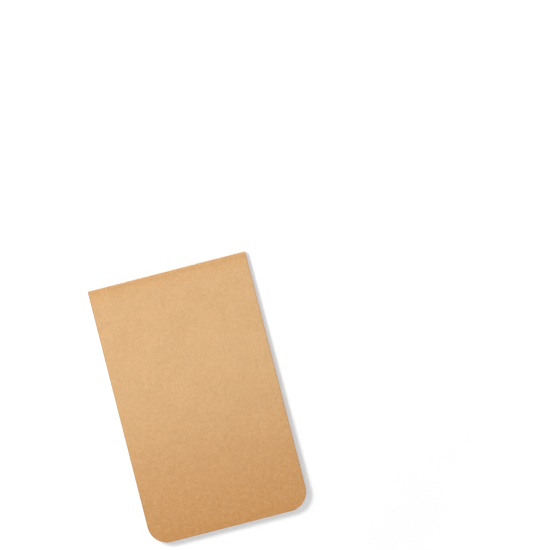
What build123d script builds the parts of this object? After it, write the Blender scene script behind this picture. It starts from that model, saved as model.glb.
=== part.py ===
# Pocket notebook, bound along its short top edge: a folded kraft card cover, twelve folded sheets
# of ruled paper and two wire staples through the fold. It lies closed on its back cover.
# Origin: centre of the back cover's flat underside. +X across the width, +Y towards the bound edge,
# +Z out of the front cover. Every folded piece is cut at its crease into flat panels and a bend.
import os
from math import atan2, cos, degrees, radians, sin

from build123d import *

os.makedirs("parts", exist_ok=True)

# Driving dimensions, mm
width = 82.55  # across the page
closed_length = 133.35  # nose of the spine to the free edge
corner_r = 10.0  # rounded free corners of cover and pages
sheets = 12  # folded sheets, so 24 leaves
leaf_t = 0.10  # paper
card_t = 0.32  # kraft cover card
wire_d = 0.36  # staple wire
crease_free_r = 0.25  # open heart of the innermost fold, where the staple ends lie
fold_gap = 0.002  # air between nested folds
card_gap = 0.008  # air between the outer sheet and the cover
panel_setback = 0.50  # flat panels begin this far from the centre of the fold
butt_gap = 0.02  # between the end of a bend and its flat panel
spring_lift = 2.75  # how far the free edge of the closed cover springs up
crease_round = 0.15  # softened crease edges of the cover panels

staple_spacing = 41.0  # between the two staples' centres
staple_crown = 12.0  # length of the bar seen on the spine
clinch_gap = 1.4  # between the two bent-in ends of one staple
wire_bend_r = 0.30
leg_hole_r = 0.26  # holes the staple legs pierce in each fold
crown_proud = 0.10  # how far the crown stands out of the card it is pressed into
groove_gap = 0.02  # round the crown in its pressed groove

# Derived positions
fold_pitch = leaf_t + fold_gap
block_r = crease_free_r + sheets * fold_pitch - fold_gap  # outer radius of the outermost sheet
cover_in_r = block_r + card_gap
cover_out_r = cover_in_r + card_t
panel_length = closed_length - cover_out_r - panel_setback
root_y = panel_length / 2
crease_y = root_y + panel_setback
crease_z = cover_out_r
crown_y = crease_y + cover_out_r + crown_proud - wire_d / 2
tail = panel_setback - butt_gap
leaf_count = 2 * sheets
tip_room = 2 * cover_in_r + spring_lift  # height between the two covers at the free edge
tip_pitch = tip_room / leaf_count
leg_xs = [
    side * staple_spacing / 2 + end * staple_crown / 2 for side in (-1, 1) for end in (-1, 1)
]


def tilt(root_z, tip_z):
    """Angle above level, in degrees, of a panel that runs from its root to the free edge."""
    return degrees(atan2(tip_z - root_z, panel_length))


def underside(root_z, angle):
    """Plane of a panel's underside: origin at its root, local -Y runs to the free edge."""
    a = radians(angle)
    return Plane(origin=(0, root_y, root_z), x_dir=(1, 0, 0), z_dir=(0, sin(a), cos(a)))


# Cover panels: the back one lies level, the front one springs up a little
back_root, front_root = 0.0, crease_z + cover_in_r
for label, root_z, lift in (("cover_back", back_root, 0.0), ("cover_front", front_root, spring_lift)):
    angle = tilt(root_z, root_z + lift)
    span = panel_length / cos(radians(angle))
    with BuildPart() as panel:
        with BuildSketch(underside(root_z, angle)) as outline:
            with Locations((0, -span / 2)):
                Rectangle(width, span)
            fillet(outline.vertices().group_by(Axis.Y)[0], radius=corner_r)
        extrude(amount=card_t)
        fillet(panel.edges().filter_by(Axis.X).sort_by(Axis.Y)[-2:], radius=crease_round)
    panel.part.label = label
    export_step(panel.part, f"parts/{label}.step")

# Leaves, numbered from the front cover: leaf n and leaf 25 - n are the two halves of sheet n
for n in range(1, leaf_count + 1):
    if n <= sheets:
        root_z = crease_z + crease_free_r + (sheets - n) * fold_pitch
    else:
        root_z = crease_z - crease_free_r - (n - sheets - 1) * fold_pitch - leaf_t
    tip_z = card_t + (leaf_count - n + 0.5) * tip_pitch - leaf_t / 2
    angle = tilt(root_z, tip_z)
    span = panel_length / cos(radians(angle))
    with BuildPart() as leaf:
        with BuildSketch(underside(root_z, angle)) as outline:
            with Locations((0, -span / 2)):
                Rectangle(width, span)
            fillet(outline.vertices().group_by(Axis.Y)[0], radius=corner_r)
        extrude(amount=leaf_t)
    leaf.part.label = f"leaf_{n:02d}"
    export_step(leaf.part, f"parts/leaf_{n:02d}.step")

# Bends: the cover's spine and each sheet's fold, one inside the other, pierced by the staple legs
bends = [("cover_spine", cover_in_r, cover_out_r)]
for n in range(1, sheets + 1):
    inner_r = crease_free_r + (sheets - n) * fold_pitch
    bends.append((f"fold_{n:02d}", inner_r, inner_r + leaf_t))
for label, inner_r, outer_r in bends:
    with BuildPart() as bend:
        with BuildSketch(Plane.YZ):
            with Locations((crease_y, crease_z)):
                Circle(outer_r)
                Circle(inner_r, mode=Mode.SUBTRACT)
            with Locations((crease_y - outer_r, crease_z)):
                Rectangle(2 * outer_r, 2 * outer_r, mode=Mode.SUBTRACT)
            for side in (-1, 1):
                with Locations((crease_y - tail / 2, crease_z + side * (inner_r + outer_r) / 2)):
                    Rectangle(tail, outer_r - inner_r)
        extrude(amount=width / 2, both=True)
        with BuildSketch(Plane.XZ.offset(-crease_y)):
            with Locations(*[(x, crease_z) for x in leg_xs]):
                Circle(leg_hole_r)
        extrude(amount=-2 * cover_out_r, mode=Mode.SUBTRACT)
        if outer_r == cover_out_r:  # grooves pressed into the card by the staple crowns
            with BuildSketch(Plane.XZ.offset(-(crown_y - wire_d / 2 - groove_gap))):
                with Locations(*[(side * staple_spacing / 2, crease_z) for side in (-1, 1)]):
                    Rectangle(staple_crown + wire_d + 2 * groove_gap, wire_d + 2 * groove_gap)
            extrude(amount=-2 * wire_d, mode=Mode.SUBTRACT)
    bend.part.label = label
    export_step(bend.part, f"parts/{label}.step")

# Staples: crown on the spine, legs through every fold, ends bent in along the heart of the fold
for label, side in (("staple_left", -1), ("staple_right", 1)):
    mid = side * staple_spacing / 2
    end_x, leg_x = clinch_gap / 2, staple_crown / 2
    with BuildPart() as staple:
        with BuildLine(Plane.XY.offset(crease_z)) as wire:
            FilletPolyline(
                (mid - end_x, crease_y),
                (mid - leg_x, crease_y),
                (mid - leg_x, crown_y),
                (mid + leg_x, crown_y),
                (mid + leg_x, crease_y),
                (mid + end_x, crease_y),
                radius=wire_bend_r,
            )
        with BuildSketch(Plane(origin=wire.line @ 0, z_dir=wire.line % 0)):
            Circle(wire_d / 2)
        sweep()
    staple.part.label = label
    export_step(staple.part, f"parts/{label}.step")
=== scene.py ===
from math import cos, pi, radians, sin, sqrt

import bpy
import numpy as np
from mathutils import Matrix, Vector


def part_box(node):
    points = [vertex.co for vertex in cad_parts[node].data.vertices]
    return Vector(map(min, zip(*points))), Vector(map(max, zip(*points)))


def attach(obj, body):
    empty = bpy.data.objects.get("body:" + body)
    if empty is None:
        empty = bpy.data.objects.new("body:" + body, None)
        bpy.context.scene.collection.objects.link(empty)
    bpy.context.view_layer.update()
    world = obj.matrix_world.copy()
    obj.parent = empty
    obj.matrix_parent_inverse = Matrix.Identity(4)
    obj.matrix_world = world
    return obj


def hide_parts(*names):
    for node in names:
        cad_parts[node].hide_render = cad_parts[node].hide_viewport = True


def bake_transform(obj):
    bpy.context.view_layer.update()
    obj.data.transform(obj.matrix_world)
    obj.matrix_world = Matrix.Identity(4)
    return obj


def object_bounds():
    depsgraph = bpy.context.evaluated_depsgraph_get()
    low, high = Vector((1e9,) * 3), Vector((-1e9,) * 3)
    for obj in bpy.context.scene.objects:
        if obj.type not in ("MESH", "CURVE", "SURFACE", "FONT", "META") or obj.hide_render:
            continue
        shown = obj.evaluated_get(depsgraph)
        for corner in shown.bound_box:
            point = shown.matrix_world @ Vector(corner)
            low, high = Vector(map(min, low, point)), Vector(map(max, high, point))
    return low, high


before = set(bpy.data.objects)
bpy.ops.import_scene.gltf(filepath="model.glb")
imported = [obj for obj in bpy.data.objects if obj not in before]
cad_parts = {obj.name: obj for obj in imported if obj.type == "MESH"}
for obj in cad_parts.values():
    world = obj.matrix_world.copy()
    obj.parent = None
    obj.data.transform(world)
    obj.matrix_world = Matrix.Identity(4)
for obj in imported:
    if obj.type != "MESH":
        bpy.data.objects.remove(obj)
cad_low, cad_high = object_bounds()

# ---------------------------------------------------------------- dimensions, mm, as in the frame
MM = 0.001
WIDTH = (cad_high[0] - cad_low[0]) / MM
PANEL = -2 * cad_low[1] / MM  # flat part of a page, free edge to its root
CORNER = 10.0  # radius of the free corners
SETBACK = 0.50  # root of a page to the centre of the fold
SHEETS = 12
LEAF_T, CARD_T, WIRE = 0.10, 0.32, 0.36
HEART = 0.25  # free radius inside the innermost fold
PITCH = 0.102  # from fold to fold
CARD_IN, CARD_OUT = 1.48, 1.80  # radii of the cover's fold
LIFT = cad_high[2] / MM - 2 * CARD_OUT  # spring of the closed cover at its free edge
SAG = 0.20  # how far the front cover hangs below a straight line from spine to free edge
FOLD_Y, FOLD_Z = PANEL / 2 + SETBACK, CARD_OUT
FLEX = 0.8  # length of card that bends at a cover's crease

LEG_XS = []
for name in ("staple_left", "staple_right"):
    low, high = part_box(name)
    LEG_XS += [low[0] / MM + WIRE / 2, high[0] / MM - WIRE / 2]
HOLE = 0.26  # half the width of the hole each staple leg pierces
DENT, DENT_EDGE = 0.27, 0.52  # depth of the groove that a staple's crown presses, half its width

# How finely the pieces are cut
ACROSS = 7  # columns of vertices across, besides those at the sides of the holes
CORNER_ROWS, PAGE_ROWS, CREASE_ROWS, GROOVE_ROWS = 19, 22, 9, 4
PAPER_STEPS, CARD_STEPS = 12, 28  # round a fold
SHARP = 40  # degrees; edges sharper than this aren't shaded smooth
HOLE_SIDES = [x + side * HOLE for x in LEG_XS for side in (-1, 1)]
COLUMNS = sorted(HOLE_SIDES + list(np.linspace(-WIDTH / 2, WIDTH / 2, ACROSS)))
TINY = 1e-6

# Unevenness of the block
GAP_SPREAD, GAP_LEAST = (0.14, 1.0), 0.12  # how uneven the gaps between the leaves' tips are
SKEW = 0.03  # how far aside a sheet lies at most
rng = np.random.default_rng(846)

# Places on the endless sheet that the grain is drawn on, so that no two pieces look alike
SHEET_SHIFT, COVER_SHIFT, CLIMB = 41.0, 7.0, 0.37  # aside, and how much of that it goes up too
REAR_ASIDE, REAR_TOP = 97.0, 300.0  # a rear half lies aside and runs down from the top

FIRST_RULE, RULE_PITCH, RULES, RULE_W = 6.9, 7.0, 18, 0.26  # from the free edge


# ---------------------------------------------------------------- sheets and card as folded strips
def half_width(e):
    """Half the width of a page at distance e from its free edge, with the rounded corner."""
    e = min(max(e, 0.0), CORNER)
    return WIDTH / 2 - CORNER + sqrt(CORNER**2 - (CORNER - e) ** 2)


def page_stations(fine_root=False):
    """Distances from the free edge at which a page has a row of vertices."""
    arc = [CORNER * (1 - cos(radians(a))) for a in np.linspace(0, 90, CORNER_ROWS)]
    run = list(np.linspace(CORNER, PANEL - 4, PAGE_ROWS)[1:])
    if fine_root:  # a cover, which bends over its last FLEX
        bend = [PANEL + SETBACK - FLEX * f for f in np.linspace(1, 0, CREASE_ROWS)]
        root = [PANEL - 2, PANEL - 1] + bend
    else:
        root = [PANEL - 1.5, PANEL, PANEL + SETBACK - HOLE, PANEL + SETBACK]
    return arc + run + root


def page_line(root_z, tip_z, stack, stations):
    """Points (y, z) of a page's middle from its free edge to the fold. stack is how much of the
    front cover's sag it takes: 0 at the back cover and 1 at the front cover."""
    points = []
    for e in stations:
        u = min(e / PANEL, 1.0)
        sag = SAG * stack * sin(pi * u)
        points.append((e - PANEL / 2, tip_z + (root_z - tip_z) * u - sag))
    return points


def strip(name, line, bends, radius, thickness, grain_shift, slot=None, dent=False, shift_x=0.0):
    """A closed folded strip of paper or card. line is its middle in (y, z) and bends is how far
    round it each row lies from the middle of the fold, negative on the rear half. slot is the
    range of bends that is open round the staple legs, dent presses the staples' grooves into the
    outer face, and shift_x lays the piece that far aside. UV layer page holds (x, distance from
    the free edge), negative on what looks down at rest, and grain a place on the sheet that the
    grain is drawn on, both in mm."""
    edges = [PANEL + SETBACK + radius * pi / 2 - abs(bend) for bend in bends]
    p = np.array(line, float)
    d = np.gradient(p, axis=0)
    d /= np.linalg.norm(d, axis=1)[:, None]
    n = np.stack([-d[:, 1], d[:, 0]], axis=1)
    rows, stride = len(p), len(COLUMNS)
    verts = []
    for side in (0.5, -0.5):
        for i, (bend, e) in enumerate(zip(bends, edges)):
            for column in COLUMNS:
                x = column * half_width(e) / (WIDTH / 2)
                pressed = dent_depth(bend, column) if dent and side > 0 else 0.0
                y, z = p[i] + n[i] * (side * thickness - pressed)
                verts.append((x + shift_x, y, z))

    def vid(side, corner):
        return side * rows * stride + corner[0] * stride + corner[1]

    cells = {(i, j) for i in range(rows - 1) for j in range(stride - 1)}
    if slot:
        inside = [slot[0] - TINY < bend < slot[1] + TINY for bend in bends]
        pierced = [i for i in range(rows - 1) if inside[i] and inside[i + 1]]
        cells -= {(i, COLUMNS.index(x - HOLE)) for i in pierced for x in LEG_XS}
    faces, notes = [], []  # each face's half, whether it looks down at rest, and its material slot
    for i, j in sorted(cells):
        rear = bends[i + 1] < -TINY
        ring = [(i, j), (i, j + 1), (i + 1, j + 1), (i + 1, j)]
        faces.append([vid(0, corner) for corner in ring])
        faces.append([vid(1, corner) for corner in reversed(ring)])
        notes += [(rear, rear, 0), (rear, not rear, 0)]
        for k, beyond in enumerate(((i - 1, j), (i, j + 1), (i + 1, j), (i, j - 1))):
            if beyond not in cells:
                a, b = ring[k], ring[(k + 1) % 4]
                faces.append([vid(0, b), vid(0, a), vid(1, a), vid(1, b)])
                notes.append((rear, False, 1))
    mesh = bpy.data.meshes.new(name)
    mesh.from_pydata([tuple(c * MM for c in v) for v in verts], [], faces)
    page = mesh.uv_layers.new(name="page")
    grain = mesh.uv_layers.new(name="grain")
    for poly, (rear, under, material_slot) in zip(mesh.polygons, notes):
        poly.material_index = material_slot
        for loop in poly.loop_indices:
            v = mesh.loops[loop].vertex_index
            x, e = verts[v][0] - shift_x, edges[(v % (rows * stride)) // stride]
            page.data[loop].uv = (x, -e if under else e)
            grain.data[loop].uv = (
                x + grain_shift + (REAR_ASIDE if rear else 0.0),
                (REAR_TOP - e if rear else e) + CLIMB * grain_shift,
            )
    mesh.shade_smooth()
    mesh.set_sharp_from_angle(angle=radians(SHARP))
    obj = bpy.data.objects.new(name, mesh)
    bpy.context.scene.collection.objects.link(obj)
    return obj


def dent_depth(bend, x):
    """Depth of the groove under a staple's crown, soft along its two long sides."""
    crowns = zip(LEG_XS[::2], LEG_XS[1::2])
    if not any(left - HOLE - TINY < x < right + HOLE + TINY for left, right in crowns):
        return 0.0
    return DENT * min(1.0, max(0.0, (DENT_EDGE - abs(bend)) / (DENT_EDGE - HOLE))) ** 2


def fold_arc(radius, steps, extra=()):
    """Points of the bend from the front page round the nose to the rear page, without its two
    ends, and how far round it each lies from its middle."""
    half = radius * pi / 2
    marks = (*np.linspace(-half, half, steps + 1)[1:-1], HOLE, -HOLE, *extra)
    bends = sorted({round(float(mark), 6) for mark in marks}, reverse=True)
    angles = [bend / radius for bend in bends]
    return [(FOLD_Y + radius * cos(a), FOLD_Z + radius * sin(a)) for a in angles], bends


# ---------------------------------------------------------------- linear colours and marks
KRAFT_SPINE = (0.700, 0.428, 0.203)
# painted shade: the card's colour at the free edge, darker for the light's falloff
KRAFT_FREE = (0.576, 0.279, 0.089)
KRAFT_DARK = (0.430, 0.225, 0.090)
# painted shade in a band just before the card rounds over the spine
KRAFT_SPINE_SHADE = (0.660, 0.320, 0.090)
# painted shade along the free edge, where the card curls away from the light
KRAFT_FREE_EDGE_SHADE = (0.540, 0.228, 0.048)
KRAFT_FIBRE = (0.300, 0.155, 0.070)
KRAFT_PALE = (0.840, 0.610, 0.380)
KRAFT_CORE = (0.660, 0.430, 0.235)
PAPER = (0.846, 0.842, 0.857)
PAPER_SHADE = (0.740, 0.736, 0.753)
RULE_INK = (0.420, 0.420, 0.442)
STEEL, STEEL_DULL = (0.62, 0.62, 0.63), (0.44, 0.43, 0.42)
FLOOR_DIM, FLOOR_PALE = (0.84, 0.84, 0.84), (0.86, 0.86, 0.86)
CREASE_AT = pi / 2 * CARD_OUT * 0.3  # the pressed crease lies a little way round the bend
# Three lays of fibres in the card: turn in degrees, how thin and how long in mm, and place
FIBRES = ((14, 0.16, 2.6, 3, 1), (-38, 0.13, 2.1, 11, 7), (71, 0.15, 2.4, 5, 19))


# ---------------------------------------------------------------- material graphs
class Graph:
    """A small shader-graph writer: numbers and sockets mix freely as arguments."""

    def __init__(self, name):
        self.mat = bpy.data.materials.new(name)
        self.mat.use_nodes = True
        self.tree = self.mat.node_tree
        self.bsdf = self.tree.nodes["Principled BSDF"]

    def link(self, source, socket):
        if isinstance(source, bpy.types.NodeSocket):
            self.tree.links.new(source, socket)
        else:
            socket.default_value = source

    def add(self, kind, **settings):
        node = self.tree.nodes.new(kind)
        for key, value in settings.items():
            setattr(node, key, value)
        return node

    def math(self, op, a, b=0.0):
        node = self.add("ShaderNodeMath", operation=op)
        self.link(a, node.inputs[0])
        self.link(b, node.inputs[1])
        return node.outputs[0]

    def uv(self, layer):
        return self.add("ShaderNodeUVMap", uv_map=layer).outputs[0]

    def split(self, vector):
        node = self.add("ShaderNodeSeparateXYZ")
        self.link(vector, node.inputs[0])
        return node.outputs[0], node.outputs[1]

    def stretch(self, vector, scale, move=(0, 0, 0)):
        node = self.add("ShaderNodeMapping")
        self.link(vector, node.inputs["Vector"])
        node.inputs["Scale"].default_value = scale
        node.inputs["Location"].default_value = move
        return node.outputs[0]

    def turned(self, vector, turn):
        node = self.add("ShaderNodeVectorRotate", rotation_type="Z_AXIS")
        self.link(vector, node.inputs["Vector"])
        node.inputs["Angle"].default_value = radians(turn)
        return node.outputs[0]

    def noise(self, vector, scale, detail=3.0, rough=0.5, warp=0.0):
        node = self.add("ShaderNodeTexNoise")
        self.link(vector, node.inputs["Vector"])
        node.inputs["Scale"].default_value = scale
        node.inputs["Detail"].default_value = detail
        node.inputs["Roughness"].default_value = rough
        node.inputs["Distortion"].default_value = warp
        return node.outputs["Fac"]

    def band(self, value, low, high, to_low=0.0, to_high=1.0):
        """value from low to high, smoothly mapped onto to_low to to_high and held beyond."""
        node = self.add("ShaderNodeMapRange", interpolation_type="SMOOTHSTEP")
        self.link(value, node.inputs["Value"])
        keys = ("From Min", "From Max", "To Min", "To Max")
        for key, number in zip(keys, (low, high, to_low, to_high)):
            self.link(number, node.inputs[key])
        return node.outputs[0]

    def mix(self, factor, a, b, blend="MIX"):
        node = self.add("ShaderNodeMix", data_type="RGBA", blend_type=blend)
        self.link(factor, node.inputs[0])
        for colour, socket in ((a, node.inputs[6]), (b, node.inputs[7])):
            self.link(colour if isinstance(colour, bpy.types.NodeSocket) else (*colour, 1.0), socket)
        return node.outputs[2]

    def bump(self, height, distance, strength=1.0, below=None):
        node = self.add("ShaderNodeBump")
        self.link(height, node.inputs["Height"])
        node.inputs["Distance"].default_value = distance * MM
        node.inputs["Strength"].default_value = strength
        if below is not None:
            self.link(below, node.inputs["Normal"])
        return node.outputs[0]

    def edge_distance(self, page):
        """Distance in mm from the trimmed outline, held at the corner radius further in."""
        x, e = self.split(page)
        e = self.math("ABSOLUTE", e)
        x = self.math("ABSOLUTE", x)
        a = self.math("MAXIMUM", self.math("SUBTRACT", x, WIDTH / 2 - CORNER), 0.0)
        b = self.math("MAXIMUM", self.math("SUBTRACT", CORNER, e), 0.0)
        squares = self.math("ADD", self.math("MULTIPLY", a, a), self.math("MULTIPLY", b, b))
        return self.math("SUBTRACT", CORNER, self.math("SQRT", squares)), e

    def fibres(self, grain, turn, thin, long, low, high, move):
        """Sparse thin streaks lying one way, 0 to 1."""
        drawn = self.stretch(self.turned(grain, turn), (1 / long, 1 / thin, 1), move)
        return self.band(self.noise(drawn, 1.0, 2.0, 0.45, 0.6), low, high)


def kraft_material():
    g = Graph("kraft_card")
    page, grain = g.uv("page"), g.uv("grain")
    inside, e = g.edge_distance(page)
    clouds = g.noise(grain, 0.075, 5.0, 0.62, 0.4)
    mottle = g.noise(grain, 0.42, 4.0, 0.6, 0.3)
    grit = g.noise(grain, 3.2, 3.0, 0.6)
    # Painted light falloff: lighter at the spine, darker towards the free edge
    base = g.mix(g.band(e, -8.0, 90.0), KRAFT_FREE, KRAFT_SPINE)
    # Painted shade in a band just before the card rounds over the spine
    base = g.mix(g.band(e, PANEL - 7, PANEL, 0.0, 0.30), base, KRAFT_SPINE_SHADE)
    # Painted shade along the free edge, where the card curls away from the light
    base = g.mix(g.band(e, 0.0, 9.0, 0.35, 0.0), base, KRAFT_FREE_EDGE_SHADE)
    base = g.mix(g.band(clouds, 0.32, 0.68), base, g.mix(0.11, base, KRAFT_DARK))
    base = g.mix(g.band(mottle, 0.35, 0.7, 0.0, 0.5), base, g.mix(0.20, base, KRAFT_PALE))
    base = g.mix(g.band(grit, 0.42, 0.72, 0.0, 0.32), base, KRAFT_DARK)
    streaks = 0.0
    for turn, thin, long, x, y in FIBRES:
        dark = g.fibres(grain, turn, thin, long, 0.635, 0.70, (x, y, 0))
        pale = g.fibres(grain, turn + 23, thin * 1.3, long * 1.2, 0.63, 0.71, (y, x + 40, 0))
        base = g.mix(g.math("MULTIPLY", dark, 0.42), base, KRAFT_FIBRE)
        base = g.mix(g.math("MULTIPLY", pale, 0.40), base, KRAFT_PALE)
        streaks = g.math("MAXIMUM", dark, streaks)
    flecks = g.fibres(grain, 84, 0.55, 1.9, 0.655, 0.71, (31, 13, 0))
    base = g.mix(g.math("MULTIPLY", flecks, 0.30), base, KRAFT_DARK)
    # Painted shade along the cut edge and in the pressed crease, both a little ragged
    ragged = g.math("SUBTRACT", mottle, 0.5)
    rim = g.math("ADD", inside, g.math("MULTIPLY", ragged, 0.5))
    base = g.mix(g.band(rim, 0.1, 0.6, 0.45, 0.0), base, KRAFT_DARK)
    crease = g.math("ABSOLUTE", g.math("SUBTRACT", e, PANEL + SETBACK + CREASE_AT))
    crease = g.math("ADD", crease, g.math("MULTIPLY", ragged, 1.5))
    base = g.mix(g.band(crease, 0.4, 3.2, 0.14, 0.0), base, KRAFT_DARK)
    g.link(base, g.bsdf.inputs["Base Color"])
    g.link(g.band(grit, 0.3, 0.75, 0.74, 0.92), g.bsdf.inputs["Roughness"])
    g.bsdf.inputs["Specular IOR Level"].default_value = 0.22
    felt = g.bump(g.noise(grain, 1.5, 5.0, 0.65), 0.045, 0.55)
    lay = g.bump(g.noise(grain, 0.12, 3.0, 0.5), 0.25, 0.35, felt)
    g.link(g.bump(streaks, 0.02, 0.5, lay), g.bsdf.inputs["Normal"])
    return g.mat


def paper_material():
    g = Graph("ruled_paper")
    page, grain = g.uv("page"), g.uv("grain")
    signed = g.split(page)[1]
    e = g.math("ABSOLUTE", signed)
    clouds = g.noise(grain, 0.10, 4.0, 0.55)
    felt = g.noise(grain, 2.4, 4.0, 0.6)
    base = g.mix(g.band(clouds, 0.3, 0.7), PAPER, g.mix(0.35, PAPER, PAPER_SHADE))
    base = g.mix(g.band(felt, 0.35, 0.75, 0.0, 0.22), base, PAPER_SHADE)
    # Painted shade: darker towards the free edge on both faces, for the light's falloff, and painted
    # gutter shade on the pages that look down at rest, which are the upper pages of an open spread
    under = g.math("LESS_THAN", signed, 0.0)
    base = g.mix(g.band(e, 0.0, 120.0, 0.60, 0.0), base, PAPER_SHADE)
    gutter = g.math("MULTIPLY", g.band(e, PANEL - 60, PANEL + SETBACK, 0.0, 0.98), under)
    base = g.mix(gutter, base, PAPER_SHADE)
    # Rules: distance to the nearest one of those that are printed
    count = g.math("DIVIDE", g.math("SUBTRACT", e, FIRST_RULE), RULE_PITCH)
    near = g.math("MINIMUM", g.math("MAXIMUM", g.math("ROUND", count), 0.0), RULES - 1.0)
    off = g.math("MULTIPLY", g.math("ABSOLUTE", g.math("SUBTRACT", count, near)), RULE_PITCH)
    ink = g.band(off, RULE_W / 2 - 0.05, RULE_W / 2 + 0.06, 1.0, 0.0)
    ink = g.math("MULTIPLY", ink, g.band(felt, 0.25, 0.75, 0.92, 0.70))
    base = g.mix(ink, base, RULE_INK)
    g.link(base, g.bsdf.inputs["Base Color"])
    g.link(g.band(felt, 0.3, 0.75, 0.72, 0.9), g.bsdf.inputs["Roughness"])
    g.bsdf.inputs["Specular IOR Level"].default_value = 0.25
    tooth = g.bump(felt, 0.018, 0.5)
    g.link(g.bump(g.noise(grain, 0.16, 2.0, 0.5), 0.12, 0.3, tooth), g.bsdf.inputs["Normal"])
    return g.mat


def cut_edge_material(name, pale, dark, share):
    """The trimmed edge of card or paper: short knife marks and loose fibres, no ruling."""
    g = Graph(name)
    grain = g.uv("grain")
    marks = g.noise(g.stretch(grain, (1.6, 1.6, 1)), 1.0, 5.0, 0.7)
    g.link(g.mix(g.band(marks, 0.35, 0.7, 0.0, share), pale, dark), g.bsdf.inputs["Base Color"])
    g.bsdf.inputs["Roughness"].default_value = 0.9
    g.bsdf.inputs["Specular IOR Level"].default_value = 0.1
    g.link(g.bump(marks, 0.03, 0.6), g.bsdf.inputs["Normal"])
    return g.mat


def steel_material():
    g = Graph("staple_wire")
    where = g.add("ShaderNodeTexCoord").outputs["Object"]
    drawn = g.noise(g.stretch(where, (900, 9000, 9000)), 1.0, 3.0, 0.6)
    tarnish = g.noise(where, 700.0, 3.0, 0.6)
    tint = g.mix(g.band(tarnish, 0.4, 0.7), STEEL, STEEL_DULL)
    g.link(tint, g.bsdf.inputs["Base Color"])
    g.link(g.band(drawn, 0.3, 0.7, 0.24, 0.42), g.bsdf.inputs["Roughness"])
    g.bsdf.inputs["Metallic"].default_value = 1.0
    g.link(g.bump(drawn, 0.01, 0.4), g.bsdf.inputs["Normal"])
    return g.mat


def floor_material():
    g = Graph("pale_floor")
    where = g.add("ShaderNodeTexCoord").outputs["Object"]
    soft = g.noise(where, 6.0, 3.0, 0.5)
    g.link(g.mix(g.band(soft, 0.3, 0.7), FLOOR_DIM, FLOOR_PALE), g.bsdf.inputs["Base Color"])
    g.bsdf.inputs["Roughness"].default_value = 0.9
    g.bsdf.inputs["Specular IOR Level"].default_value = 0.1
    # It glows a little, and more away from the notebook, so that it ends in the studio's white
    x, y = g.split(where)
    far = g.math("SQRT", g.math("ADD", g.math("MULTIPLY", x, x), g.math("MULTIPLY", y, y)))
    g.link((1.0, 1.0, 1.0, 1.0), g.bsdf.inputs["Emission Color"])
    g.link(g.band(far, *GLOW_REACH, *GLOW), g.bsdf.inputs["Emission Strength"])
    return g.mat


kraft, paper, steel = kraft_material(), paper_material(), steel_material()
cut_card = cut_edge_material("cut_card", KRAFT_CORE, KRAFT_DARK, 0.30)
cut_paper = cut_edge_material("cut_paper", PAPER, PAPER_SHADE, 0.55)

# ---------------------------------------------------------------- the twelve folded sheets
stations = page_stations()
gaps = rng.uniform(*GAP_SPREAD, 2 * SHEETS + 1) ** 2 + GAP_LEAST
gaps *= (2 * CARD_IN + LIFT - 2 * SHEETS * LEAF_T) / gaps.sum()
tips = CARD_T + np.cumsum(gaps[:-1]) + LEAF_T * (np.arange(2 * SHEETS) + 0.5)
for sheet in range(1, SHEETS + 1):
    radius = HEART + (SHEETS - sheet) * PITCH + LEAF_T / 2
    half_fold = radius * pi / 2
    halves = []
    for leaf, sign in ((sheet, 1), (2 * SHEETS + 1 - sheet, -1)):
        stack = (2 * SHEETS - leaf + 0.5) / (2 * SHEETS)
        tip = float(tips[2 * SHEETS - leaf])
        halves.append(page_line(FOLD_Z + sign * radius, tip, stack, stations))
    arc, bends = fold_arc(radius, PAPER_STEPS)
    page_bends = [PANEL + SETBACK + half_fold - e for e in stations]
    # The legs need room past the roots too, where they stand once the fold has opened
    room = half_fold + HOLE
    obj = strip(
        f"sheet_{sheet:02d}",
        halves[0] + arc + halves[1][::-1],
        page_bends + bends + [-bend for bend in page_bends[::-1]],
        radius,
        LEAF_T,
        sheet * SHEET_SHIFT,
        slot=(-room, HOLE if sheet == SHEETS else room),
        shift_x=rng.uniform(-SKEW, SKEW),
    )
    obj.data.materials.append(paper)
    obj.data.materials.append(cut_paper)
    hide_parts(f"leaf_{sheet:02d}", f"fold_{sheet:02d}", f"leaf_{2 * SHEETS + 1 - sheet:02d}")
    if sheet == SHEETS:
        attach(obj, "rear_block")
        continue
    # Distances of each page half's points from the plane midway between them, towards its own side
    rise = [(half[0][1] - half[-1][1]) / PANEL for half in halves]
    lean = (rise[0] + rise[1]) / 2
    normal = np.array([lean, 1.0]) / sqrt(1 + lean**2)
    heart = np.array([FOLD_Y, FOLD_Z])
    clear = []
    for half, sign in zip(halves, (1, -1)):
        clear += [sign * float((np.array(point) - heart) @ normal) for point in half]
    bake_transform(obj)

# ---------------------------------------------------------------- the folded card cover
card_mid = (CARD_IN + CARD_OUT) / 2
half_fold = card_mid * pi / 2
panel_rows = page_stations(fine_root=True)
panel_bends = [PANEL + SETBACK + half_fold - e for e in panel_rows]
front = page_line(FOLD_Z + card_mid, CARD_T + 2 * CARD_IN + LIFT + CARD_T / 2, 1.0, panel_rows)
cover_front = strip("kraft_front", front, panel_bends, card_mid, CARD_T, COVER_SHIFT)
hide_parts("cover_front")
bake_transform(cover_front)

back = page_line(FOLD_Z - card_mid, CARD_T / 2, 0.0, panel_rows)
rear_bends = [-bend for bend in panel_bends[::-1]]
cover_back = strip("kraft_back", back[::-1], rear_bends, card_mid, CARD_T, COVER_SHIFT)
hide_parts("cover_back")
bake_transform(cover_back)

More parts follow.
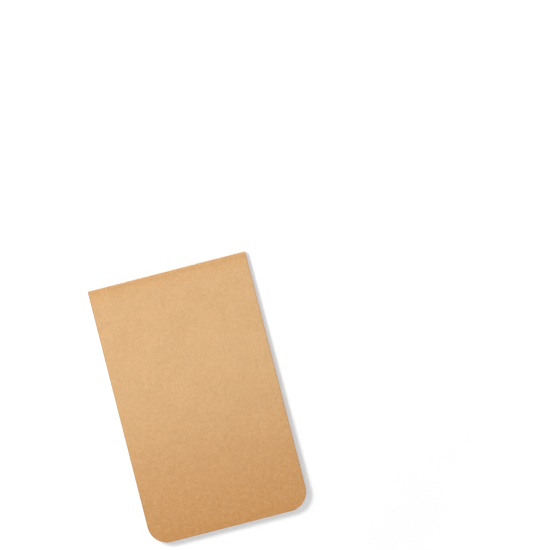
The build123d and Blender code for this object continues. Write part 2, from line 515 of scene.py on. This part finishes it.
groove_side = np.linspace(HOLE, DENT_EDGE, GROOVE_ROWS)[1:]
groove_rows = [side * bend for bend in groove_side for side in (-1, 1)]
arc, bends = fold_arc(card_mid, CARD_STEPS, groove_rows)
spine = strip(
    "kraft_spine",
    [front[-1]] + arc + [back[-1]],
    [half_fold] + bends + [-half_fold],
    card_mid,
    CARD_T,
    COVER_SHIFT,
    slot=(-HOLE, HOLE),
    dent=True,
)
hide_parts("cover_spine")
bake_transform(spine)
for obj in (cover_front, cover_back, spine):
    obj.data.materials.append(kraft)
    obj.data.materials.append(cut_card)

# ---------------------------------------------------------------- staples keep their CAD shape
for name in ("staple_left", "staple_right"):
    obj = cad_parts[name]
    for slot in obj.material_slots:
        slot.material = steel

# ---------------------------------------------------------------- floor, light and camera
GLOW_REACH, GLOW = (0.10, 0.35), (0.16, 0.48)  # of the floor: from and to, m, and how strong there
SKY = 0.62  # the studio's even white light; the camera itself sees plain white
KEY_PLACE, KEY_SIZE, KEY_POWER = (-0.22, 0.24, 0.60), 0.18, 2.45  # m, m, W
FLOOR_SIZE, FLOOR_Z = 6.0, -0.00045  # m; below the opened back cover, whose panel reaches 0.35 mm down

bpy.ops.mesh.primitive_plane_add(size=FLOOR_SIZE, location=(0, 0, FLOOR_Z))
floor = bpy.context.object
floor.name = "floor"
floor.data.materials.append(floor_material())

scene = bpy.context.scene
world = bpy.data.worlds.new("studio")
scene.world = world
world.use_nodes = True
tree = world.node_tree
seen, lit = tree.nodes["Background"], tree.nodes.new("ShaderNodeBackground")
seen.inputs["Color"].default_value = lit.inputs["Color"].default_value = (1.0, 1.0, 1.0, 1.0)
seen.inputs["Strength"].default_value, lit.inputs["Strength"].default_value = 1.0, SKY
choose, rays = tree.nodes.new("ShaderNodeMixShader"), tree.nodes.new("ShaderNodeLightPath")
tree.links.new(rays.outputs["Is Camera Ray"], choose.inputs[0])
tree.links.new(lit.outputs[0], choose.inputs[1])
tree.links.new(seen.outputs[0], choose.inputs[2])
tree.links.new(choose.outputs[0], tree.nodes["World Output"].inputs[0])

key_data = bpy.data.lights.new("key", "AREA")
key_data.shape = "DISK"
key_data.size = KEY_SIZE
key_data.energy = KEY_POWER
key = bpy.data.objects.new("key", key_data)
scene.collection.objects.link(key)
key.location = KEY_PLACE
key.rotation_euler = (-Vector(KEY_PLACE)).to_track_quat("-Z", "Y").to_euler()

TURN = 14.4  # the notebook lies turned this far anticlockwise in the view
VIEW_WIDTH = 280.5  # what the view spans at the table, so that the open notebook fits too
VIEW_SHIFT = 54.8  # the view's middle lies this far to the right of the middle of the fold
LENS, SENSOR = 120.0, 36.0
right = (cos(radians(TURN)), -sin(radians(TURN)))
centre = (right[0] * VIEW_SHIFT, FOLD_Y + right[1] * VIEW_SHIFT)
camera_data = bpy.data.cameras.new("camera")
camera_data.lens = LENS
camera_data.sensor_width = SENSOR
camera_data.clip_start, camera_data.clip_end = 0.01, 20.0
camera = bpy.data.objects.new("camera", camera_data)
scene.collection.objects.link(camera)
camera.location = (centre[0] * MM, centre[1] * MM, VIEW_WIDTH * MM * LENS / SENSOR)
camera.rotation_euler = (0.0, 0.0, radians(-TURN))
scene.camera = camera
scene.view_settings.view_transform = "Standard"
scene.view_settings.look = "None"
